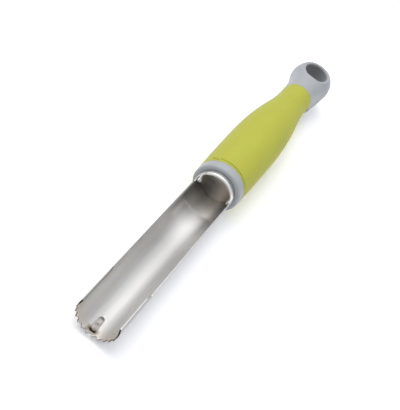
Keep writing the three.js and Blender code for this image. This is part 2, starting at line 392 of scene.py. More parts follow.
class Graph(ShaderTree):
    """A material's nodes."""

    def __init__(self, name: str) -> None:
        """Starts a material with only its output and its main shader.

        Args:
            name: The material's name.
        """
        self.material = bpy.data.materials.new(name)
        self.material.use_nodes = True
        super().__init__(self.material.node_tree)
        self.tree.nodes.clear()
        self.output = self.add("ShaderNodeOutputMaterial")
        self.shader = self.add("ShaderNodeBsdfPrincipled")
        self.fill(self.output, Surface=self.shader.outputs["BSDF"])

    def place(self, scale: Triple = UNSCALED) -> Socket:
        """The piece's own coordinates, stretched by a scale per metre along each axis."""
        source = self.add("ShaderNodeTexCoord").outputs["Object"]
        return self.add("ShaderNodeMapping", Vector=source, Scale=scale).outputs["Vector"]

    def normal(self) -> Socket:
        """The direction that a face looks in."""
        return self.add("ShaderNodeNewGeometry").outputs["True Normal"]

    def away(self, middle: Vector, axes: Triple) -> Socket:
        """How far a place lies from another.

        Args:
            middle: The other place.
            axes: 1 for each axis along which it counts, 0 for the rest.

        Returns:
            The distance's socket, a vector.
        """
        back = [-m * a for m, a in zip(middle, axes)]
        node = self.work_out("ShaderNodeVectorMath", "MULTIPLY_ADD", self.place(), axes, back)
        return node.outputs["Vector"]

    def along(self, vector: Socket, direction: object) -> Socket:
        """The length of a vector along a direction."""
        return self.work_out("ShaderNodeVectorMath", "DOT_PRODUCT", vector, direction).outputs["Value"]

    def length(self, vector: Socket) -> Socket:
        """The length of a vector."""
        return self.work_out("ShaderNodeVectorMath", "LENGTH", vector).outputs["Value"]

    def noise(self, scale: Triple, detail: float, roughness: float = 0.5) -> Socket:
        """A cloudy value from 0 to 1.

        Args:
            scale: Its grains per metre along each axis.
            detail: How many finer layers it has.
            roughness: How strong the finer layers are.

        Returns:
            The value's socket.
        """
        node = self.add(
            "ShaderNodeTexNoise", Vector=self.place(scale), Scale=1.0, Detail=detail, Roughness=roughness
        )
        return node.outputs["Fac"]

    def between(self, value: Socket, low: float, high: float) -> Socket:
        """Spreads a cloudy value's middle range from `low` to `high`."""
        return self.stretch(value, CLOUD_SPAN, (low, high)).outputs["Result"]

    def mix(self, share: Socket, first: object, second: object) -> Socket:
        """Mixes two colours.

        Args:
            share: The share of the second, from 0 to 1.
            first: A colour or the socket that gives it.
            second: Another.

        Returns:
            The mixed colour's socket.
        """
        node = self.add("ShaderNodeMix", Factor=share)
        node.data_type = "RGBA"
        for index, value in zip(MIX_COLOURS, (first, second)):
            self.feed(node.inputs[index], value if isinstance(value, Socket) else (*value, 1.0))
        return node.outputs[MIXED]

    def bump(self, height: Socket, strength: float, depth: float) -> Socket:
        """A fine relief of a height from 0 to 1, `depth` metres deep."""
        return self.add("ShaderNodeBump", Height=height, Strength=strength, Distance=depth).outputs["Normal"]


@dataclass(frozen=True)
class TipMarksAndShade:
    """Marks at the tip: a straw tint, browned cuts, black corners and a smear by the slot, and painted shade:
    the slot's low cut faces and the low end of the scoop painted black.

    A pair is where a mark begins and where it is full: along the tool counted from `ends`, in height from
    `above` or `below`.

    Attributes:
        ends: Where the tint ends along the tool.
        above: The height of the tip's corners.
        below: The height of the sheet's underside.
    """

    ends: float
    above: float
    below: float
    tint: Colour = (0.68, 0.645, 0.595)
    tint_along: Span = (0.0, -0.008)
    cut_facing: Span = (-0.45, -0.8)
    cut_along: Span = (0.0, -0.001)
    browned: Colour = (0.29, 0.25, 0.205)
    # Black for the low cut faces by the slot, as painted shade, and for the tip's top corners.
    black_cut: Colour = (0.03, 0.024, 0.02)
    corner_height: Span = (-0.0012, 0.0006)
    slot_height: Span = (0.0002, -0.0002)
    mouth_along: Span = (-0.0044, -0.0058)
    # Painted shade: the low end of the scoop by the slot is painted black.
    slot_shade: Colour = (0.04, 0.032, 0.032)
    slot_shade_height: Span = (0.0006, 0.0)
    tooth_floor: Colour = (0.44, 0.425, 0.40)
    floor_height: Span = (0.0013, 0.0008)
    straw: Colour = (0.34, 0.30, 0.23)
    bar_along: Span = (-0.0082, -0.0075)
    smear: Colour = (0.33, 0.28, 0.265)
    smear_grain: float = 1100.0
    smear_share: Span = (0.47, 0.6)
    smear_height: Span = (0.0003, -0.0002)
    smear_along: Span = (0.0005, -0.002)

    def colour(self, g: Graph, steel: Socket, inside: Socket) -> Socket:
        """Marks the steel and paints the slot's shade.

        Args:
            g: The material's nodes.
            steel: The steel's colour.
            inside: The share by which a face looks in at the tool's axis.

        Returns:
            The colour with the marks.
        """
        _, along, height = g.split(g.place())
        mouth = g.fade(along, self.mouth_along, self.ends)
        floor = g.both(g.fade(height, self.floor_height, self.below), mouth)
        marked = g.mix(g.both(g.fade(along, self.tint_along, self.ends), inside), steel, self.tint)
        marked = g.mix(self.smeared(g, along, height), marked, self.smear)
        marked = g.mix(floor, marked, self.tooth_floor)
        marked = g.mix(g.both(g.fade(along, self.bar_along, self.ends), floor), marked, self.straw)
        # Paints the slot's shade into the low end of the scoop.
        marked = g.mix(g.both(g.fade(height, self.slot_shade_height, self.below), mouth), marked, self.slot_shade)
        # Black on the low cut faces by the slot, as painted shade, and on the tip's top corners.
        cut_tone = g.mix(g.fade(height, self.slot_height, self.below), self.browned, self.black_cut)
        cut_tone = g.mix(g.fade(height, self.corner_height, self.above), cut_tone, self.black_cut)
        cut = g.fade(g.split(g.normal())[1], self.cut_facing)
        return g.mix(g.both(cut, g.fade(along, self.cut_along, self.ends)), marked, cut_tone)

    def smeared(self, g: Graph, along: Socket, height: Socket) -> Socket:
        """The share of the broken smear in the low end of the scoop.

        Args:
            g: The material's nodes.
            along: The place along the tool.
            height: The height.

        Returns:
            The share's socket.
        """
        patches = g.fade(g.noise((self.smear_grain,) * 3, detail=3.0), self.smear_share)
        deep = g.both(patches, g.fade(height, self.smear_height, self.below))
        return g.both(deep, g.fade(along, self.smear_along, self.ends))


@dataclass(frozen=True)
class BrushedSteel:
    """Satin stainless sheet, brushed along the tool, with painted light inside towards the neck and brown
    staining with painted shade before the cap.

    A pair is where a change begins and where it is full, in metres.

    Attributes:
        middle: A place on the tool's axis.
        shade_stain_from: Where the brown staining and the painted shade of the ring begin along the tool.
        shade_stain_to: Where they end.
        shade_stain_lean: How far their border leans towards the neck, per metre of depth.
        ring_from: Where the closed ring begins.
        edge_zone: Distances from the middle plane at which the side walls begin.
        cut_faces: How far a face looks out where the inside turns into a cut edge.
        outer_faces: How far it looks out where a cut edge turns into the outside.
        top_light: The painted light on the upper part, if it has any.
        tip_marks_and_shade: The marks and painted shade of the tip, if it has any.
    """

    name: str
    middle: Vector
    light: Colour
    dark: Colour
    shade_stain_from: float
    shade_stain_to: float
    # Brown staining with painted shade of the ring before the cap: dark on the left, painted lighter on the
    # right where the light falls, with its own tone on the walls.
    shade_stain_left: Colour
    shade_stain_right: Colour
    shade_stain_walls: Colour = (0.30, 0.29, 0.27)
    shade_stain_fade: float = 0.0022
    shade_stain_lean: float = 0.59
    lit_side_split: Span = (-0.004, 0.006)
    ragged_share: float = 0.35
    matt: float = 0.75
    gloss: float = 0.42
    dull: float = 0.49
    spread: float = 0.25
    lines: Triple = (5200.0, 14.0, 5200.0)
    bands: Triple = (1100.0, 7.0, 1100.0)
    band_share: float = 0.55
    cloud: Triple = (90.0, 45.0, 90.0)
    cloud_share: float = 0.45
    relief: float = 0.25
    depth: float = 0.000004
    # Painted light: a lighter tone inside towards the neck, and a painted highlight on the left wall just
    # before the shaded zone.
    painted_glow: Colour = (0.97, 0.96, 0.945)
    painted_glow_along: Span = (-0.024, 0.0)
    gleam_along: Span = (-0.011, -0.004)
    gleam_wall: Span = (-0.0084, -0.0066)
    # Painted shade on the side walls towards the neck.
    side_shade: Colour = (0.49, 0.48, 0.465)
    side_shade_along: Span = (-0.052, 0.0)
    edge_zone: Span = (0.004, 0.0088)
    ring_from: float = 1.0
    outside: Colour = (0.43, 0.427, 0.43)
    ring_tone: Colour = (0.62, 0.615, 0.605)
    outer_faces: Span = (0.002, 0.006)
    cut_edge: Colour = (0.66, 0.655, 0.65)
    # Painted shade on the left long cut edge.
    shaded_cut_left: Colour = (0.34, 0.33, 0.315)
    cut_ring: Colour = (0.85, 0.845, 0.835)
    cut_faces: Span = (-0.007, -0.003)
    # Painted light on the upper part.
    top_light: Colour | None = None
    top_light_height: Span = (0.001, 0.006)
    tip_marks_and_shade: TipMarksAndShade | None = None

    def material(self) -> bpy.types.Material:
        """Makes the finish.

        Returns:
            The material.
        """
        g = Graph(self.name)
        lines = g.noise(self.lines, detail=1.0)
        cloud = g.noise(self.cloud, detail=4.0)
        bands = g.noise(self.bands, detail=2.0)
        streaks = g.mix(g.between(lines, 0.0, 1.0), self.dark, self.light)
        streaks = g.mix(g.between(bands, 0.0, self.band_share), streaks, self.dark)
        brushed = g.mix(g.between(cloud, 0.0, self.cloud_share), streaks, self.light)
        shade_stained = self.shade_stained(g)
        outwards = g.along(g.away(self.middle, (1.0, 0.0, 1.0)), g.normal())
        inside = g.fade(outwards, (self.cut_faces[1], self.cut_faces[0]))
        colour = self.faces(g, self.trough(g, brushed, shade_stained, cloud), outwards)
        if self.tip_marks_and_shade is not None:
            colour = self.tip_marks_and_shade.colour(g, colour, inside)
        satin = g.between(lines, self.gloss, self.dull)
        rough = g.stretch(g.both(shade_stained, inside), (0.0, 1.0), (satin, self.matt))
        around = g.add("ShaderNodeTangent")
        around.direction_type = "RADIAL"
        around.axis = "Y"
        g.fill(
            g.shader,
            Base_Color=colour,
            Roughness=rough.outputs["Result"],
            Metallic=1.0,
            Anisotropic=self.spread,
            Tangent=around.outputs["Tangent"],
            Normal=g.bump(lines, self.relief, self.depth),
        )
        return g.material

    def shade_stained(self, g: Graph) -> Socket:
        """The share of brown staining and painted shade before the cap, whose border leans towards the neck
        at the bottom of the trough.

        Args:
            g: The material's nodes.

        Returns:
            The share's socket.
        """
        place = g.along(g.away(self.middle, (0.0, 1.0, 1.0)), (0.0, 1.0, self.shade_stain_lean))
        first, last = (end - self.middle.y for end in (self.shade_stain_from, self.shade_stain_to))
        begins = g.fade(place, (first, first + self.shade_stain_fade))
        ends = g.fade(place, (last, last - self.shade_stain_fade / 2))
        return g.both(begins, ends)

    def trough(self, g: Graph, steel: Socket, shade_stained: Socket, cloud: Socket) -> Socket:
        """Paints light inside towards the neck, a highlight on its left wall, shade on its walls, uneven
        painted shade with brown staining before the cap, and light on the upper part where there is some.

        Args:
            g: The material's nodes.
            steel: The brushed steel's colour.
            shade_stained: The share of staining and painted shade.
            cloud: A slow noise that breaks the staining and painted shade up.

        Returns:
            The colour inside.
        """
        across, along, height = g.split(g.place())
        right = g.fade(across, self.lit_side_split)
        left = g.fade(across, (self.lit_side_split[1], self.lit_side_split[0]))
        wall = g.fade(g.size_of(across), self.edge_zone)
        # Painted light towards the neck, painted shade on the walls, and a painted highlight on the left
        # wall.
        shaded_steel = g.mix(g.fade(along, self.painted_glow_along, self.shade_stain_from), steel, self.painted_glow)
        shaded_steel = g.mix(g.both(wall, g.fade(along, self.side_shade_along, self.shade_stain_from)), shaded_steel, self.side_shade)
        gleam = g.both(left, g.fade(across, self.gleam_wall))
        gleam = g.both(g.fade(along, self.gleam_along, self.shade_stain_from), gleam)
        shaded_steel = g.mix(gleam, shaded_steel, self.painted_glow)
        # Painted shade of the ring with brown staining: dark on the left, lighter on the right where the
        # light falls.
        shade_stain_tone = g.mix(right, self.shade_stain_left, self.shade_stain_right)
        ragged = g.mix(g.between(cloud, 0.0, self.ragged_share), shade_stain_tone, shaded_steel)
        shaded_steel = g.mix(shade_stained, shaded_steel, g.mix(wall, ragged, self.shade_stain_walls))
        if self.top_light is not None:
            shaded_steel = g.mix(g.fade(height, self.top_light_height, self.middle.z), shaded_steel, self.top_light)
        return shaded_steel

    def faces(self, g: Graph, trough: Socket, outwards: Socket) -> Socket:
        """Gives the cut edges and the outside their own tones, with painted shade on the left long edge.

        Args:
            g: The material's nodes.
            trough: The colour inside.
            outwards: How far a face looks out: its distance outside, 0 on cut edges, less inside.

        Returns:
            The colour of all faces.
        """
        across, along, _ = g.split(g.place())
        ring = g.fade(along, (-self.shade_stain_fade, 0.0), self.ring_from)
        long_edges = g.mix(g.fade(across, self.lit_side_split), self.shaded_cut_left, self.cut_edge)
        edges = g.mix(ring, long_edges, self.cut_ring)
        shell = g.mix(ring, self.outside, self.ring_tone)
        colour = g.mix(g.fade(outwards, self.cut_faces), trough, edges)
        return g.mix(g.fade(outwards, self.outer_faces), colour, shell)


@dataclass(frozen=True)
class SatinPlastic:
    """Hard moulded plastic with the fine grain of its mould, and painted shade inside the hanging eye.

    Attributes:
        eye: The middle of the eye.
        eye_sides: Where across the eye its wall turns from the left tone to the right one.
        eye_edge: Distances from its middle at which its wall begins.
    """

    name: str
    colour: Colour
    shade: Colour
    eye: Vector
    # Painted shade in the eye's wall, darkest on the left.
    eye_shade_left: Colour = (0.275, 0.28, 0.29)
    eye_shade_right: Colour = (0.42, 0.435, 0.455)
    eye_sides: Span = (-0.002, 0.006)
    eye_edge: Span = (0.0071, 0.0063)
    gloss: float = 0.38
    dull: float = 0.48
    grain: float = 5200.0
    cloud: float = 120.0
    relief: float = 0.2
    depth: float = 0.00003

    def material(self) -> bpy.types.Material:
        """Makes the finish.

        Returns:
            The material.
        """
        g = Graph(self.name)
        grain = g.noise((self.grain,) * 3, detail=2.0)
        cloud = g.noise((self.cloud,) * 3, detail=4.0)
        plain = g.mix(g.between(cloud, 0.0, 1.0), self.colour, self.shade)
        g.fill(
            g.shader,
            Base_Color=self.paint_eye_shade(g, plain),
            Roughness=g.between(cloud, self.gloss, self.dull),
            Normal=g.bump(grain, self.relief, self.depth),
        )
        return g.material

    def paint_eye_shade(self, g: Graph, colour: Socket) -> Socket:
        """Paints shade on the wall of the hanging eye, most on its left.

        Args:
            g: The material's nodes.
            colour: The plastic's colour.

        Returns:
            The colour with the eye's painted shade.
        """
        spoke = g.away(self.eye, (1.0, 1.0, 0.0))
        # Painted shade in the eye's wall, darker on the left than on the right.
        wall = g.mix(g.fade(g.split(spoke)[0], self.eye_sides), self.eye_shade_left, self.eye_shade_right)
        return g.mix(g.fade(g.length(spoke), self.eye_edge), colour, wall)


@dataclass(frozen=True)
class SoftTouch:
    """Matt rubbery overmould: a velvety grain and a little wear."""

    name: str
    colour: Colour
    shade: Colour
    gloss: float = 0.58
    dull: float = 0.72
    grain: float = 3600.0
    grain_roughness: float = 0.6
    cloud: Triple = (70.0, 35.0, 70.0)
    relief: float = 0.25
    depth: float = 0.00006
    sheen: float = 0.04

    def material(self) -> bpy.types.Material:
        """Makes the finish.

        Returns:
            The material.
        """
        g = Graph(self.name)
        grain = g.noise((self.grain,) * 3, detail=3.0, roughness=self.grain_roughness)
        cloud = g.noise(self.cloud, detail=5.0)
        g.fill(
            g.shader,
            Base_Color=g.mix(g.between(cloud, 0.0, 1.0), self.colour, self.shade),
            Roughness=g.between(grain, self.gloss, self.dull),
            Sheen_Weight=self.sheen,
            Normal=g.bump(grain, self.relief, self.depth),
        )
        return g.material


@dataclass
class Blade:
    """The rolled sheet: toothed tip, curled walls, scoop, trough and closed ring with its rolled lip.

    Angles go round the tube from its bottom, positive to the right.
    """

    axis: ToolAxis
    finish: BrushedSteel
    lip_finish: BrushedSteel
    radius: float = 9.5
    sheet: float = 0.6
    column: float = math.radians(0.8)
    tooth_count: int = 12
    tooth_pitch: float = math.radians(16.0)
    tooth_height: float = 1.35
    tooth_lean: float = 0.64
    tooth_settle: float = 1.6
    valley_softness: float = 0.06
    ground_edge: float = 0.9
    ground_reach: float = 2.0
    ground_sides: Span = (math.radians(88.0), math.radians(98.0))
    curl_height: float = 3.4
    curl_length: float = 21.4
    corner_setback: float = 1.2
    corner_round: float = 0.9
    corner_settle: float = 4.4
    corner_sides: Span = (math.radians(82.0), math.radians(96.0))
    ramp_length: float = 3.8
    ramp_round: float = 0.9
    ramp_dip: float = 0.35
    curve_steps: int = 8
    ring_front: float = 94.0
    ring_end: float = 112.4
    relief_width: float = 1.3
    relief_depth: float = 0.7
    seam_angle: float = math.radians(-135.0)
    seam_width: float = 0.3
    slot_start: float = 1.75
    slot_end: float = 2.95
    slot_width: float = 4.0
    scoop_length: float = 7.9
    scoop_front_width: float = 3.8
    scoop_rear_width: float = 3.2
    scoop_taper: float = 1.8
    scoop_depth: float = 1.3
    scoop_step: float = 0.2
    scoop_step_width: float = 0.14
    scoop_side: float = math.pi / 4
    crease_softness: float = 0.08
    edge_bevel: float = 0.07
    bevel_segments: int = 2
    bevel_from: float = 50.0
    crisp_from: float = 26.0
    lip_radius: float = 0.75
    lip_centre: float = 8.95
    lip_back: float = 0.45
    lip_steps: int = 60
    lip_sides: int = 14
    lip_crisp_from: float = 50.0
    lug_radius: float = 1.15
    lug_centre: float = 8.2
    lug_reach: float = math.radians(10.0)
    lug_tuck: float = 3.5
    lug_fade: Span = (0.1, 0.7)
    lug_blunt: float = 0.02
    left_lug_centre: float = 7.6
    left_lug_rise: float = math.radians(6.0)
    tab_radius: float = 0.5

    def side_outline(self) -> list[Point]:
        """The height of the sheet's long edges, seen from the side.

        Returns:
            Length and height points from the tip to the ring.
        """
        top = self.curl_height
        curl = self.curl_length
        ramp = curl + self.ramp_length
        soft = self.ramp_round
        dip = -self.ramp_dip
        front = self.ring_front
        relief = front - self.relief_width
        middle = relief + self.relief_width / 2
        bottom = -self.relief_depth
        bends = (
            ((curl - soft, top), (curl, top), (curl + soft, top - soft)),
            ((ramp - soft, soft), (ramp, dip), (ramp + soft, dip)),
            ((ramp + soft, dip), (ramp + 2 * soft, dip), (ramp + 2 * soft, 0.0)),
            ((relief, 0.0), (relief, bottom), (middle, bottom)),
            ((middle, bottom), (front, bottom), (front, 0.0)),
        )
        outline = [(0.0, top)]
        for bend in bends:
            outline += bezier(bend, self.curve_steps)
        return [*outline, (self.ring_end, 0.0)]

    def front_edge(self, angle: float) -> float:
        """How far the front edge lies behind the tooth points.

        Args:
            angle: The place round the tube.

        Returns:
            The distance along the tool.
        """
        setback = 0.0
        if abs(angle) <= (self.tooth_count + 1) / 2 * self.tooth_pitch:
            past_tip = (angle / self.tooth_pitch + 0.5) % 1.0
            flanks = (past_tip / self.tooth_lean, (1.0 - past_tip) / (1.0 - self.tooth_lean))
            setback = self.tooth_height * max(0.0, soft_least(*flanks, self.valley_softness))
        height = -self.radius * math.cos(angle)
        if height > 0.0:
            straight = self.curl_height - self.corner_round
            corner = self.corner_setback * min(height, straight) / straight
            rise = min(1.0, max(0.0, (height - straight) / self.corner_round))
            corner += self.corner_round * (1.0 - math.sqrt(1.0 - rise * rise))
            setback = max(setback, corner)
        return setback

    def scoop_drop(self, across: float, along: float) -> float:
        """How far the scoop is pressed out of the floor at a place.

        Args:
            across: The place across the tool.
            along: The place along it.

        Returns:
            The drop, 0 outside the scoop.
        """
        end = self.slot_end + self.scoop_length
        round_start = end - self.scoop_taper
        if along < self.slot_end or along > end:
            return 0.0
        if along > round_start:
            half = self.scoop_rear_width / 2 * (1.0 - ((along - round_start) / self.scoop_taper) ** 2)
        else:
            share = (along - self.slot_end) / (round_start - self.slot_end)
            half = (self.scoop_front_width * (1.0 - share) + self.scoop_rear_width * share) / 2
        slope = self.scoop_depth / (self.scoop_front_width / 2)
        soft = math.hypot(across, self.crease_softness) - self.crease_softness
        step = self.scoop_step * smooth_step(0.0, self.scoop_step_width, half - soft)
        return max(0.0, slope * (half - soft)) + step

    def stations(self) -> list[float]:
        """Rows along the tool, close together where the outline changes.

        Returns:
            The rows' places, from the tooth points to the ring's end.
        """
        scoop_end = self.slot_end + self.scoop_length
        relief = self.ring_front - self.relief_width
        ramp_start = self.curl_length - 2 * self.ramp_round
        ramp_end = self.curl_length + self.ramp_length + 3 * self.ramp_round
        stretches = (
            (0.0, self.slot_start, 8),
            (self.slot_start, self.slot_end, 6),
            (self.slot_end, scoop_end, 40),
            (scoop_end, ramp_start, 8),
            (ramp_start, ramp_end, 48),
            (ramp_end, relief, 40),
            (relief, self.ring_front, 16),
            (self.ring_front, self.ring_end, 14),
        )
        rows = [0.0]
        for start, end, count in stretches:
            rows += list(np.linspace(start, end, count + 1)[1:])
        return rows

    def point(self, along: float, angle: float) -> Triple:
        """A place on the outside of the sheet, teeth and scoop included.

        Args:
            along: The row, before the teeth draw it back.
            angle: The place round the tube.

        Returns:
            The point in the tool's frame.
        """
        settle = self.tooth_settle + self.corner_settle * smooth_step(*self.corner_sides, abs(angle))
        back = self.front_edge(angle) * max(0.0, 1.0 - along / settle)
        across = self.radius * math.sin(angle)
        out = self.radius
        if abs(angle) < self.scoop_side:
            out += self.scoop_drop(across, along + back)
        return (out * math.sin(angle), along + back, -out * math.cos(angle))

    def wall_share(self, along: float, angle: float) -> float:
        """The share of the sheet's thickness that is left at a place: the toothed rim is ground thin.

        Args:
            along: The row, before the teeth draw it back.
            angle: The place round the tube.

        Returns:
            The share, from 0 to 1.
        """
        toothed = 1.0 - smooth_step(*self.ground_sides, abs(angle))
        ground = (1.0 - self.ground_edge) * (1.0 - smooth_step(0.0, self.ground_reach, along))
        return 1.0 - toothed * ground

    def seam_ends(self) -> tuple[float, float]:
        """The angles at which the ring's left and right tabs end at the seam."""
        half_seam = self.seam_width / 2 / self.radius
        return self.seam_angle + half_seam, self.seam_angle + WHOLE_TURN - half_seam

    def sheet_mesh(self) -> bmesh.types.BMesh:
        """The outside of the sheet, with the slot left open.

        Returns:
            The open mesh in the tool's frame.
        """
        bm = bmesh.new()
        places, heights = zip(*self.side_outline())
        widest = math.acos(-self.curl_height / self.radius)
        half_columns = round(widest / self.column)
        rows = self.stations()
        thickness = bm.verts.layers.deform.verify()
        grid = []
        for along in rows:
            reach = math.acos(-float(np.interp(along, places, heights)) / self.radius)
            angles = [reach * k / half_columns for k in range(-half_columns, half_columns + 1)]
            line = [bm.verts.new(self.point(along, a)) for a in angles]
            for vertex, angle in zip(line, angles):
                vertex[thickness][0] = self.wall_share(along, angle)
            grid.append(line)
        slot_angle = math.asin(self.slot_width / 2 / self.radius)
        slot_columns = round(slot_angle / self.column)
        for i, (near, far) in enumerate(zip(grid, grid[1:])):
            middle = (rows[i] + rows[i + 1]) / 2
            in_slot = self.slot_start < middle < self.slot_end
            for j in range(2 * half_columns):
                if in_slot and half_columns - slot_columns <= j < half_columns + slot_columns:
                    continue
                bm.faces.new((near[j], far[j], far[j + 1], near[j + 1]))
        self.close_ring(bm, rows, grid)
        bmesh.ops.recalc_face_normals(bm, faces=bm.faces[:])
        return bm

    def close_ring(
        self, bm: bmesh.types.BMesh, rows: list[float], grid: list[list[bmesh.types.BMVert]]
    ) -> None:
        """Carries the sheet on round the ring, from both long edges to the seam.

        Args:
            bm: The mesh to add to.
            rows: The places of its rows.
            grid: The vertices of its rows.
        """
        thickness = bm.verts.layers.deform.verify()
        left_end, right_end = self.seam_ends()
        first = next(i for i, along in enumerate(rows) if along >= self.ring_front - TINY)
        for column, start, end in ((0, -QUARTER, left_end), (-1, QUARTER, right_end)):
            count = round(abs(end - start) / (2.0 * self.column))
            ring = []
            for along, row in zip(rows[first:], grid[first:]):
                line = [row[column]]
                line += [bm.verts.new(self.point(along, a)) for a in np.linspace(start, end, count + 1)[1:]]
                for vertex in line[1:]:
                    vertex[thickness][0] = 1.0
                ring.append(line)
            for near, far in zip(ring, ring[1:]):
                for j in range(count):
                    bm.faces.new((near[j], far[j], far[j + 1], near[j + 1]))

    def lip_mesh(self) -> bmesh.types.BMesh:
        """The ring's rolled lip: a bead round each tab, from its free corner up to the seam.

        Returns:
            The closed beads in the tool's frame.
        """
        bm = bmesh.new()
        wall_top = QUARTER - self.lug_reach
        left_end, right_end = self.seam_ends()
        left_top = -wall_top - self.left_lug_rise
        self.add_bead(bm, (left_top, left_end), (self.lug_radius, self.tab_radius), self.left_lug_centre)
        self.add_bead(bm, (wall_top, right_end), (self.lip_radius, self.lip_radius), self.lug_centre)
        bmesh.ops.recalc_face_normals(bm, faces=bm.faces[:])
        return bm

    def add_bead(self, bm: bmesh.types.BMesh, angles: Span, radii: Span, tucked: float) -> None:
        """Adds one bead, with a blunt lug that is tucked in at its free corner.

        Args:
            bm: The mesh to add to.
            angles: Where the bead starts and ends round the tube.
            radii: Its own radius at the lug and at the seam.
            tucked: The distance of the lug's middle from the axis.
        """
        start, end = angles
        first, last = radii
        rings = []
        for t in np.linspace(0.0, 1.0, self.lip_steps + 1):
            angle = start + (end - start) * t
            turned = abs(angle - start)
            begun = 1.0 - (1.0 - min(1.0, turned / self.lug_reach)) ** 2
            blunt = math.sqrt(max(self.lug_blunt, begun))
            bead = (first + (last - first) * smooth_step(*self.lug_fade, t)) * blunt
            inwards = 1.0 - smooth_step(self.lug_reach, self.lug_tuck * self.lug_reach, turned)
            middle = self.lip_centre - (self.lip_centre - tucked) * inwards
            ring = []
            for turn in np.linspace(0.0, WHOLE_TURN, self.lip_sides, endpoint=False):
                out = middle + bead * math.cos(turn)
                along = self.ring_front + self.lip_back + bead * math.sin(turn)
                ring.append(bm.verts.new((out * math.sin(angle), along, -out * math.cos(angle))))
            rings.append(ring)
        for near, far in zip(rings, rings[1:]):
            for j in range(self.lip_sides):
                k = (j + 1) % self.lip_sides
                bm.faces.new((near[j], far[j], far[k], near[k]))
        bm.faces.new(rings[0])
        bm.faces.new(rings[-1])

    def build(self) -> None:
        """Shapes the lip and the sheet, dresses them and sets them in the frame."""
        lip = add_piece("ring_lip", self.lip_mesh(), self.axis.matrix())
        shade(lip, self.lip_crisp_from)
        stand_for(lip, Node.BLADE, self.lip_finish.material())
        sheet = add_piece("blade_sheet", self.sheet_mesh(), self.axis.matrix())
        self.face_outwards(sheet)
        self.thicken(sheet)
        shade(sheet, self.crisp_from)
        stand_for(sheet, Node.BLADE, self.finish.material())

    def face_outwards(self, sheet: bpy.types.Object) -> None:
        """Turns the sheet's faces so that they look away from the tool's axis.

        Args:
            sheet: The open sheet.
        """
        face = max(sheet.data.polygons, key=lambda p: p.center.y)
        away = face.center - self.axis.origin
        away.y = 0.0
        if face.normal.dot(away) < 0.0:
            sheet.data.flip_normals()

    def thicken(self, sheet: bpy.types.Object) -> None:
        """Gives the sheet its thickness inwards, with broken edges.

        Args:
            sheet: The open sheet, whose first vertex group holds the share of thickness.
        """
        wall = sheet.modifiers.new("wall", "SOLIDIFY")
        wall.vertex_group = sheet.vertex_groups.new(name="thickness").name
        wall.thickness = self.sheet * MM
        wall.offset = -1.0
        wall.use_even_offset = True
        bevel = sheet.modifiers.new("edges", "BEVEL")
        bevel.width = self.edge_bevel * MM
        bevel.segments = self.bevel_segments
        bevel.limit_method = "ANGLE"
        bevel.angle_limit = math.radians(self.bevel_from)
        apply_modifiers(sheet)


@dataclass
class NeckPlug:
    """The pressed cap that shuts the ring."""

    axis: ToolAxis
    finish: BrushedSteel
    face: float = 99.7
    skirt: float = 3.0
    radius: float = 8.86
    sheet: float = 0.6
    corner: float = 0.7
    corner_steps: int = 10
    dome: float = 0.4
    rings: int = 14
    facets: int = 160
    crisp_from: float = 40.0

    def profile(self) -> list[Point]:
        """The cap's outline.

        Returns:
            Radius and length points, both ends on the axis.
        """
        inner = self.radius - self.sheet
        centre = (self.radius - self.corner, self.face + self.corner)
        shares = [k / self.rings for k in range(self.rings)]
        return [
            *[(centre[0] * k, self.face - self.dome * (1.0 - k * k)) for k in shares],
            *arc(centre, self.corner, -QUARTER, 0.0, self.corner_steps),
            (self.radius, self.face + self.skirt),
            (inner, self.face + self.skirt),
            (inner, self.face + self.corner),
            (0.0, self.face + self.corner),
        ]

    def build(self) -> None:
        """Shapes the cap, dresses it and sets it in the frame."""
        piece = add_piece("neck_cap", revolve(self.profile(), self.facets), self.axis.matrix())
        shade(piece, self.crisp_from)
        stand_for(piece, Node.PLUG, self.finish.material())


@dataclass
class GripSweep:
    """The line of the grip's outside and its wall, which the sleeve and the rod under it share."""

    front: float = 101.2
    rear: float = 190.4
    wall: float = 1.1
    front_radius: float = 11.8
    belly_back: float = 33.0
    belly_radius: float = 12.37
    belly_sweep: float = 30.0
    waist_radius: float = 8.0
    waist_inset: float = 4.2
    waist_sweep: float = 16.0
    steps: int = 60

    @cached_property
    def line(self) -> list[Point]:
        """The outside of the grip.

        Returns:
            Radius and length points from front to rear.
        """
        belly = self.front + self.belly_back
        waist = self.rear - self.waist_inset
        swell = (
            (self.front_radius, self.front),
            (self.belly_radius, (self.front + belly) / 2),
            (self.belly_radius, belly),
        )
        sweep = (
            (self.belly_radius, belly),
            (self.belly_radius, belly + self.belly_sweep),
            (self.waist_radius, waist - self.waist_sweep),
            (self.waist_radius, waist),
        )
        return [
            *bezier(swell, self.steps),
            *bezier(sweep, self.steps)[1:],
            (self.waist_radius, self.rear),
        ]

    def radius_at(self, along: float) -> float:
        """The outside radius at a place along the tool."""
        return float(np.interp(along, [p[1] for p in self.line], [p[0] for p in self.line]))


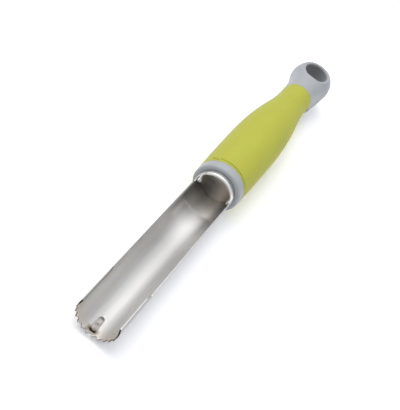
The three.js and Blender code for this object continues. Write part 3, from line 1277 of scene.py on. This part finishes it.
@dataclass
class HandleCore:
    """The hard moulding: collar, rod under the grip, neck and ball with its hanging eye.

    Angles go round the handle from its top, positive to the right.
    """

    axis: ToolAxis
    finish: SatinPlastic
    sweep: GripSweep
    facets: int = 192
    crisp_from: float = 35.0
    blade_radius: float = Blade.radius
    seat_end: float = 112.7
    nose_front: float = 100.6
    nose_radius: float = 7.8
    collar_front: float = 96.6
    collar_radius: float = 11.7
    collar_round: float = 1.2
    collar_steps: int = 12
    bore_gap: float = 0.03
    bore_chamfer: float = 0.15
    neck_straight: float = 0.8
    flare_steps: int = 48
    ball_radius: float = 10.99
    ball_centre: float = 210.1
    ball_steps: int = 72
    eye_radius: float = 6.2
    eye_round: float = 1.1
    eye_roll: float = math.radians(14.0)
    eye_roll_steps: int = 16
    eye_rows: int = 8
    eye_past: float = 2.0
    web_radii: Span = (9.3, 10.85)
    web_end: float = 207.0
    web_lip: float = 1.5
    web_right: Span = (math.radians(90.0), math.radians(108.0))
    web_left: Span = (math.radians(-128.0), math.radians(-170.0))
    web_thins: Span = (math.radians(122.0), math.radians(168.0))
    web_below: float = 0.2

    def fill_neck(self, radius: float, along: float, angle: float) -> Point:
        """Fills the underside of the neck, so that it runs straight from the grip to the ball there.

        Args:
            radius: A profile point's radius.
            along: Its place along the tool.
            angle: The angle from the top.

        Returns:
            The point's radius and place.
        """
        start = self.sweep.rear
        if not start < along < self.web_end or radius < self.sweep.waist_radius - TOUCH:
            return radius, along
        turned = math.remainder(angle, WHOLE_TURN)
        share = smooth_step(*(self.web_right if turned > 0.0 else self.web_left), turned)
        share *= 1.0 - (1.0 - self.web_below) * smooth_step(*self.web_thins, abs(turned))
        straight = float(np.interp(along, (start, self.web_end), self.web_radii))
        begun = smooth_step(-self.web_lip, self.web_lip, along - start)
        return radius + max(0.0, straight - radius) * share * begun, along

    def profile(self) -> list[Point]:
        """The moulding's outline without its eye.

        Returns:
            Radius and length points, both ends on the axis.
        """
        bore = self.blade_radius + self.bore_gap
        rod = [(r - self.sweep.wall - TOUCH, y) for r, y in self.sweep.line]
        neck = self.sweep.waist_radius
        flare_start = self.sweep.rear + self.neck_straight
        flare_length = self.ball_centre - flare_start
        flare = (flare_length ** 2 + neck ** 2 - self.ball_radius ** 2) / (2.0 * (self.ball_radius - neck))
        meets = math.atan2(-flare_length, neck + flare)
        shoulder = self.sweep.rear + TOUCH
        collar_end = self.sweep.front - TOUCH
        round_centre = (self.collar_radius - self.collar_round, self.collar_front + self.collar_round)
        ball = arc((0.0, self.ball_centre), self.ball_radius, meets, QUARTER, self.ball_steps)
        return [
            (0.0, self.nose_front),
            (self.nose_radius, self.nose_front),
            (self.nose_radius, self.seat_end),
            (bore, self.seat_end),
            (bore, self.collar_front + self.bore_chamfer),
            (bore + self.bore_chamfer, self.collar_front),
            *arc(round_centre, self.collar_round, -QUARTER, 0.0, self.collar_steps),
            (self.collar_radius, collar_end),
            (rod[0][0], collar_end),
            *rod,
            (rod[-1][0], shoulder),
            (neck, shoulder),
            *arc((neck + flare, flare_start), flare, math.pi, math.pi + meets, self.flare_steps),
            *ball[1:-1],
            (0.0, self.ball_centre + self.ball_radius),
        ]

    def eye_cutter(self) -> bmesh.types.BMesh:
        """What the hanging eye takes out of the ball: a straight bore that rolls out to a soft edge.

        Returns:
            The closed cutter, upright on the ball's centre, in the tool's frame.
        """
        past = self.eye_past
        ring = self.eye_radius + self.eye_round
        level = math.sqrt((self.ball_radius - self.eye_round) ** 2 - ring ** 2)
        stop = math.atan2(level, ring) + self.eye_roll
        roll = arc((ring, level), self.eye_round, math.pi, stop, self.eye_roll_steps)
        lip, lip_level = roll[-1]
        rim = (lip + past * math.cos(stop), lip_level + past * math.sin(stop) + past)
        upper = [*roll, rim, (0.0, self.ball_radius + past + past)]
        lower = [(r, -z) for r, z in reversed(upper)]
        walls = [(self.eye_radius, z) for z in np.linspace(-level, level, self.eye_rows + 1)[1:-1]]
        bm = revolve([*lower, *walls, *upper], self.facets)
        upright = Matrix.Rotation(QUARTER, 4, "X")
        bm.transform(Matrix.Translation((0.0, self.ball_centre, 0.0)) @ upright)
        return bm

    def build(self) -> None:
        """Shapes the moulding, cuts its eye, dresses it and sets it in the frame."""
        placing = self.axis.matrix()
        piece = add_piece("handle_moulding", revolve(self.profile(), self.facets, self.fill_neck), placing)
        cutter = add_piece("eye_cutter", self.eye_cutter(), placing)
        cut = piece.modifiers.new("eye", "BOOLEAN")
        cut.operation = "DIFFERENCE"
        cut.solver = "EXACT"
        cut.object = cutter
        apply_modifiers(piece)
        bpy.data.objects.remove(cutter)
        shade(piece, self.crisp_from)
        stand_for(piece, Node.CORE, self.finish.material())


@dataclass
class GripSleeve:
    """The soft sleeve, with a fine parting crease behind its front lip that jumps at one place.

    The crease's ends are an angle from the top, positive to the right, and a distance behind the front.
    """

    axis: ToolAxis
    finish: SoftTouch
    sweep: GripSweep
    facets: int = 320
    crisp_from: float = 40.0
    front_round: float = 0.3
    front_steps: int = 8
    rear_round: float = 0.12
    rear_steps: int = 6
    crease_width: float = 0.95
    crease_depth: float = 0.85
    crease_flank: float = 1.3
    crease_fade: float = math.radians(9.0)
    crease_zone: float = 5.0
    crease_row: float = 0.06
    left_start: Point = (math.radians(-56.0), 2.6)
    left_end: Point = (math.radians(-33.0), 0.9)
    left_share: float = 0.7
    right_start: Point = (math.radians(-30.0), 1.9)
    right_end: Point = (math.radians(66.0), 1.25)
    right_bend: float = 2.5
    right_deepens: float = 0.6

    def crease_at(self, angle: float) -> Point:
        """Where the crease runs and how deep it is.

        Args:
            angle: The angle from the top.

        Returns:
            The crease's place along the tool and its depth.
        """
        turned = math.remainder(angle, WHOLE_TURN)
        jump = smooth_step(self.left_end[0], self.right_start[0], turned)
        starts = smooth_step(self.left_start[0], self.left_start[0] + self.crease_fade, turned)
        ends = 1.0 - smooth_step(self.right_end[0] - self.crease_fade, self.right_end[0], turned)
        left = float(np.interp(turned, *zip(self.left_start, self.left_end)))
        t = min(1.0, max(0.0, (turned - self.right_start[0]) / (self.right_end[0] - self.right_start[0])))
        bend = (1.0 - t) ** self.right_bend
        right = self.right_end[1] + (self.right_start[1] - self.right_end[1]) * bend
        share = self.left_share + (1.0 - self.left_share) * smooth_step(0.0, self.right_deepens, t)
        return self.sweep.front + left + (right - left) * jump, self.crease_depth * share * starts * ends

    def press_crease(self, radius: float, along: float, angle: float) -> Point:
        """Presses the crease into the outside of the sleeve.

        Args:
            radius: A profile point's radius.
            along: Its place along the tool.
            angle: The angle from the top.

        Returns:
            The point's radius and place.
        """
        if along > self.sweep.front + self.crease_zone:
            return radius, along
        if radius < self.sweep.radius_at(along) - self.sweep.wall / 2:
            return radius, along
        place, depth = self.crease_at(angle)
        away = abs(along - place) / (self.crease_width / 2)
        return radius - depth * max(0.0, 1.0 - away) ** self.crease_flank, along

    def profile(self) -> list[Point]:
        """The sleeve's section, with close rows where the crease runs.

        Returns:
            Radius and length points, closed.
        """
        line = self.sweep.line
        front = self.sweep.front
        rear = self.sweep.rear
        waist = self.sweep.waist_radius
        near, far = self.front_round, self.rear_round
        creased = np.arange(front + near, front + self.crease_zone, self.crease_row)
        front_centre = (self.sweep.front_radius - near, front + near)
        return [
            *[(radius - self.sweep.wall, along) for radius, along in reversed(line)],
            *arc(front_centre, near, -QUARTER, 0.0, self.front_steps)[:-1],
            *[(self.sweep.radius_at(along), along) for along in creased],
            *[p for p in line if front + self.crease_zone <= p[1] < rear - far],
            *arc((waist - far, rear - far), far, 0.0, QUARTER, self.rear_steps),
        ]

    def build(self) -> None:
        """Shapes the sleeve, dresses it and sets it in the frame."""
        bm = revolve(self.profile(), self.facets, self.press_crease)
        piece = add_piece("soft_sleeve", bm, self.axis.matrix())
        shade(piece, self.crisp_from)
        stand_for(piece, Node.SLEEVE, self.finish.material())


@dataclass(frozen=True)
class Lamp:
    """A soft box over the table, aimed at the tool."""

    name: str
    azimuth: float
    elevation: float
    distance: float
    size: Point
    watts: float
    colour: Colour

    def build(self, aim: Vector) -> None:
        """Hangs the lamp.

        Args:
            aim: The point that it looks at.
        """
        light = bpy.data.lights.new(self.name, "AREA")
        light.shape = "RECTANGLE"
        light.size, light.size_y = self.size
        light.energy = self.watts
        light.color = self.colour
        a = math.radians(self.azimuth)
        e = math.radians(self.elevation)
        out = Vector((math.sin(a) * math.cos(e), math.cos(a) * math.cos(e), math.sin(e)))
        lamp = bpy.data.objects.new(self.name, light)
        lamp.location = aim + out * self.distance
        lamp.rotation_euler = (-out).to_track_quat("-Z", "Y").to_euler()
        bpy.context.scene.collection.objects.link(lamp)
        LOG.info("lamp %s", self.name)


@dataclass
class Studio:
    """The white table, the soft light and the camera.

    Attributes:
        wall_to_ceiling: Upward parts of a direction at which the room turns from wall to ceiling.
        sky_levels: The light from its walls and from its ceiling.
        front_to_back: Parts along the tool at which it turns from front to back.
        front_levels: What is left of the light in front and at the back.
        floor_glow: Plain white that the table adds for the eye and for what mirrors it.
    """

    key: Lamp
    sky: Colour = (0.955, 0.97, 1.0)
    wall_to_ceiling: Span = (0.45, 0.9)
    sky_levels: Span = (0.4, 1.25)
    front_to_back: Span = (-0.95, -0.1)
    front_levels: Span = (0.58, 1.0)
    floor_colour: Colour = (0.99, 0.99, 0.99)
    floor_glow: Colour = (0.165, 0.166, 0.174)
    floor_roughness: float = 0.9
    floor_size: float = 6.0
    floor_height: float = -0.00005
    aim: Vector = field(default_factory=lambda: Vector((-0.00135, -0.014973, -0.000147)))
    camera_distance: float = 0.40174
    looks_down: float = 42.344
    heading: float = -4.8
    roll: float = 34.706
    lens: float = 78.69
    sensor: float = 36.0
    sees: Span = (0.01, 50.0)

    def build(self) -> None:
        """Sets up the table, the light, the colours and the camera."""
        self.build_floor()
        self.build_sky()
        self.key.build(self.aim)
        self.build_camera()
        bpy.context.scene.view_settings.view_transform = "Standard"

    def build_floor(self) -> None:
        """Lays the white table under the tool."""
        half = self.floor_size / 2
        mesh = bpy.data.meshes.new("table")
        corners = [(-half, -half, 0.0), (half, -half, 0.0), (half, half, 0.0), (-half, half, 0.0)]
        mesh.from_pydata(corners, [], [(0, 1, 2, 3)])
        table = bpy.data.objects.new("table", mesh)
        table.location.z = self.floor_height
        mesh.materials.append(self.table_white())
        bpy.context.scene.collection.objects.link(table)

    def table_white(self) -> bpy.types.Material:
        """The table's white: matt, with a little plain white added for the eye and for what mirrors it.

        Returns:
            The material.
        """
        g = Graph("table_white")
        g.fill(
            g.shader,
            Base_Color=(*self.floor_colour, 1.0),
            Roughness=self.floor_roughness,
            Specular_IOR_Level=0.0,
        )
        path = g.add("ShaderNodeLightPath").outputs
        seen = g.either(path["Is Camera Ray"], path["Is Glossy Ray"])
        seen = g.either(seen, path["Is Transmission Ray"])
        glow = g.add("ShaderNodeEmission", Color=(*self.floor_glow, 1.0), Strength=seen)
        both = g.add("ShaderNodeAddShader")
        g.feed(both.inputs[0], g.shader.outputs["BSDF"])
        g.feed(both.inputs[1], glow.outputs["Emission"])
        g.fill(g.output, Surface=both.outputs["Shader"])
        return g.material

    def build_sky(self) -> None:
        """Lights the room: brightest overhead, softer towards the walls and dim in front of the tool."""
        world = bpy.data.worlds.new("room")
        world.use_nodes = True
        sky = ShaderTree(world.node_tree)
        _, along, up = sky.split(sky.add("ShaderNodeTexCoord").outputs["Generated"])
        overhead = sky.fade(up, self.wall_to_ceiling, levels=self.sky_levels)
        behind = sky.fade(along, self.front_to_back, levels=self.front_levels)
        backdrop = world.node_tree.nodes["Background"]
        sky.fill(backdrop, Color=(*self.sky, 1.0), Strength=sky.both(overhead, behind))
        bpy.context.scene.world = world

    def build_camera(self) -> None:
        """Stands the camera at the photograph's viewpoint, turned as the picture is."""
        data = bpy.data.cameras.new("camera")
        data.sensor_width = self.sensor
        data.lens = self.lens
        data.clip_start, data.clip_end = self.sees
        camera = bpy.data.objects.new("camera", data)
        level = Euler((math.radians(90.0 - self.looks_down), 0.0, -math.radians(self.heading))).to_matrix()
        turn = Matrix.Rotation(math.radians(self.roll), 3, "Z")
        facing = level @ turn
        camera.matrix_world = facing.to_4x4()
        camera.location = self.aim + facing @ Vector((0.0, 0.0, self.camera_distance))
        bpy.context.scene.collection.objects.link(camera)
        bpy.context.scene.camera = camera


@dataclass(frozen=True)
class SteelSet:
    """The steel finishes of the blade, its rolled lip and the cap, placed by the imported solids.

    Attributes:
        axis: The tool's axis.
        tip: Where the blade begins along the tool.
        cap_face: Where the cap begins along it.
    """

    axis: ToolAxis
    tip: float
    cap_face: float
    tip_marks_reach: float = 0.009
    corner_rise: float = 0.0005
    underside: float = -0.0096
    # How far the brown staining and painted shade reach before the cap and past it.
    shade_stain_length: float = 0.0184
    shade_stain_past: float = 0.002
    ring_length: float = 0.0057
    cap_zone: Span = (-0.01, 0.02)
    # Painted highlight: the rolled lip's light tones.
    painted_highlight: Colour = (0.97, 0.96, 0.945)
    painted_highlight_dim: Colour = (0.93, 0.92, 0.905)

    def blade(self) -> BrushedSteel:
        """The blade's finish.

        Returns:
            Brushed steel with brown staining and painted shade before the cap, and marks and painted shade at
            the tip.
        """
        level = self.axis.origin.z
        tip_marks_and_shade = TipMarksAndShade(self.tip + self.tip_marks_reach, level + self.corner_rise, level + self.underside)
        return BrushedSteel(
            "blade_steel",
            self.axis.origin,
            light=(0.73, 0.72, 0.705),
            dark=(0.61, 0.60, 0.587),
            shade_stain_from=self.cap_face - self.shade_stain_length,
            shade_stain_to=self.cap_face + self.shade_stain_past,
            shade_stain_left=(0.46, 0.44, 0.41),
            shade_stain_right=(0.88, 0.82, 0.75),
            ring_from=self.cap_face - self.ring_length,
            tip_marks_and_shade=tip_marks_and_shade,
        )

    def lip(self) -> BrushedSteel:
        """The rolled lip's finish.

        Returns:
            The blade's steel, painted light all over as a highlight.
        """
        return replace(
            self.blade(),
            name="lip_highlight_steel",
            light=self.painted_highlight,
            dark=self.painted_highlight_dim,
            side_shade=self.painted_highlight_dim,
            outside=self.painted_highlight,
            ring_tone=self.painted_highlight,
            cut_edge=self.painted_highlight,
            shaded_cut_left=self.painted_highlight,
            cut_ring=self.painted_highlight,
            shade_stain_from=self.cap_face,
            tip_marks_and_shade=None,
        )

    def cap(self) -> BrushedSteel:
        """The cap's finish.

        Returns:
            Steel darkened all over as painted shade inside the ring, with painted reflection: dark on the
            left, brown and lighter on the right.
        """
        first, last = (self.cap_face + end for end in self.cap_zone)
        return BrushedSteel(
            "cap_steel",
            self.axis.origin,
            # Painted shade and reflection: the cap's steel is darkened inside the ring, dark on the left,
            # lighter and browner on the right, with a painted lighter rim and top.
            light=(0.46, 0.435, 0.40),
            dark=(0.38, 0.36, 0.33),
            shade_stain_from=first,
            shade_stain_to=last,
            shade_stain_left=(0.28, 0.265, 0.24),
            shade_stain_right=(0.86, 0.785, 0.695),
            shade_stain_walls=(0.64, 0.59, 0.53),
            top_light=(0.80, 0.755, 0.69),
            cut_faces=NOWHERE,
            outer_faces=NOWHERE,
        )


def main() -> None:
    """Builds every piece and the studio round them."""
    logging.basicConfig(level=logging.INFO)
    axis = ToolAxis.from_frame()
    steels = SteelSet(axis, tip=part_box(Node.BLADE.value)[0].y, cap_face=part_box(Node.PLUG.value)[0].y)
    plastic = SatinPlastic(
        "grey_plastic",
        colour=(0.445, 0.462, 0.485),
        shade=(0.41, 0.427, 0.45),
        eye=axis.matrix() @ Vector((0.0, HandleCore.ball_centre, 0.0)),
    )
    rubber = SoftTouch("lime_rubber", colour=(0.50, 0.51, 0.055), shade=(0.465, 0.475, 0.050))
    sweep = GripSweep()
    Blade(axis, steels.blade(), steels.lip()).build()
    NeckPlug(axis, steels.cap()).build()
    HandleCore(axis, plastic, sweep).build()
    GripSleeve(axis, rubber, sweep).build()
    key = Lamp(
        "key",
        azimuth=-66.0,
        elevation=64.0,
        distance=1.0,
        size=(0.7, 0.95),
        watts=4.1,
        colour=(1.0, 0.985, 0.955),
    )
    Studio(key).build()


if __name__ == "__main__":
    main()
